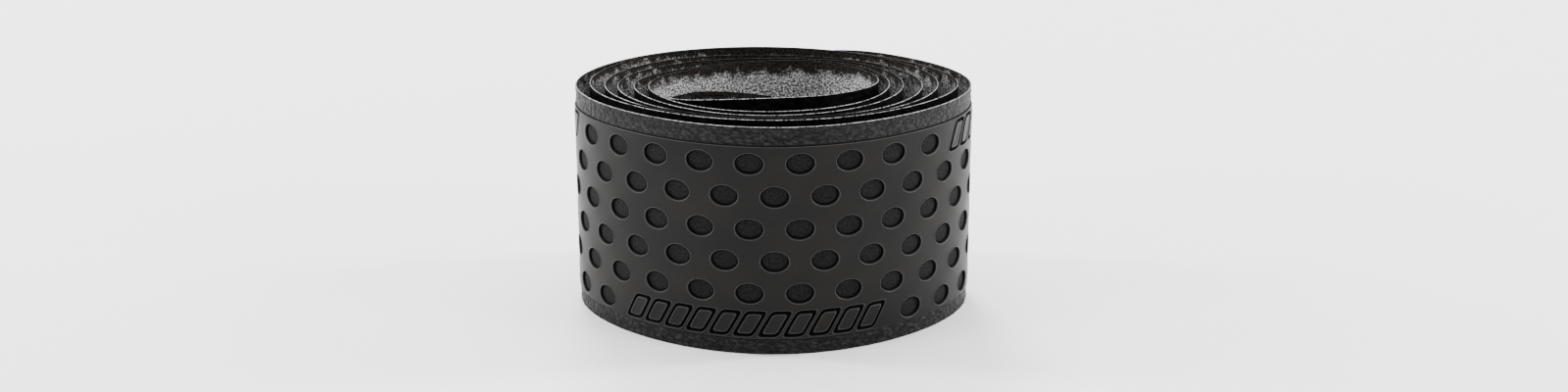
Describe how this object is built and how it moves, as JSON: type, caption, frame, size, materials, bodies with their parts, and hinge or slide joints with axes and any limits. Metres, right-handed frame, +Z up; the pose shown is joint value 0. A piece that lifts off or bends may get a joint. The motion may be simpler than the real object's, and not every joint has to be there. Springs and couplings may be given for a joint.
{
  "type": "grip tape roll",
  "caption": "Loosely wound roll of embossed grip tape standing on its edge: dotted elastomer skin outside, felt backing inside, a free tail and a folded inner end.",
  "frame": {"origin": "on the floor, at the bottom centre of the roll's bounding box", "axes": "+Z up along the winding axis, +X along the roll's longest width, -Y towards the front of the roll, away from the free tail"},
  "size_m": [0.0692, 0.0582, 0.039],
  "materials": {
    "embossed_skin": "satin black elastomer, embossed with oval dots, leather grain along both edges",
    "felt_backing": "grey non-woven felt, darker and thinned along its edges",
    "adhesive_film": "clear double-sided adhesive film",
    "liner_paper": "waxed off-white release paper"
  },
  "bodies": {
    "roll": {"turn_1_skin": "embossed_skin", "turn_1_backing": "felt_backing", "turn_2_skin": "embossed_skin", "turn_2_backing": "felt_backing", "turn_3_skin": "embossed_skin", "turn_3_backing": "felt_backing", "turn_4_skin": "embossed_skin", "turn_4_backing": "felt_backing", "turn_5_skin": "embossed_skin", "turn_5_backing": "felt_backing", "turn_6_skin": "embossed_skin", "turn_6_backing": "felt_backing", "turn_7_skin": "embossed_skin", "turn_7_backing": "felt_backing"},
    "tail_root": {"tail_root_skin": "embossed_skin", "tail_root_backing": "felt_backing"},
    "tail_middle": {"tail_middle_skin": "embossed_skin", "tail_middle_backing": "felt_backing"},
    "tail_tip": {"tail_tip_skin": "embossed_skin", "tail_tip_backing": "felt_backing", "start_adhesive": "adhesive_film", "release_liner": "liner_paper"},
    "inner_flap": {"inner_flap_skin": "embossed_skin", "inner_flap_backing": "felt_backing"}
  },
  "joints": [
    {"name": "tail_root_bend", "type": "hinge", "parent": "roll", "child": "tail_root", "pos_m": [0.03459, 0.00187, 0.0195], "axis": [0, 0, -1], "range_deg": [0, 35], "stiffness_Nm_per_rad": 0.0008},
    {"name": "tail_middle_bend", "type": "hinge", "parent": "tail_root", "child": "tail_middle", "pos_m": [0.03038, 0.01365, 0.0195], "axis": [0, 0, -1], "range_deg": [0, 35]},
    {"name": "tail_tip_bend", "type": "hinge", "parent": "tail_middle", "child": "tail_tip", "pos_m": [0.02172, 0.02271, 0.0195], "axis": [0, 0, -1], "range_deg": [0, 35]},
    {"name": "inner_flap_bend", "type": "hinge", "parent": "roll", "child": "inner_flap", "pos_m": [-0.01758, -0.00969, 0.0195], "axis": [0, 0, 1], "range_deg": [0, 50], "stiffness_Nm_per_rad": 0.0008}
  ],
  "couplings": [
    {"joint": "tail_middle_bend", "follows": "tail_root_bend", "ratio": 1},
    {"joint": "tail_tip_bend", "follows": "tail_root_bend", "ratio": 1}
  ]
}
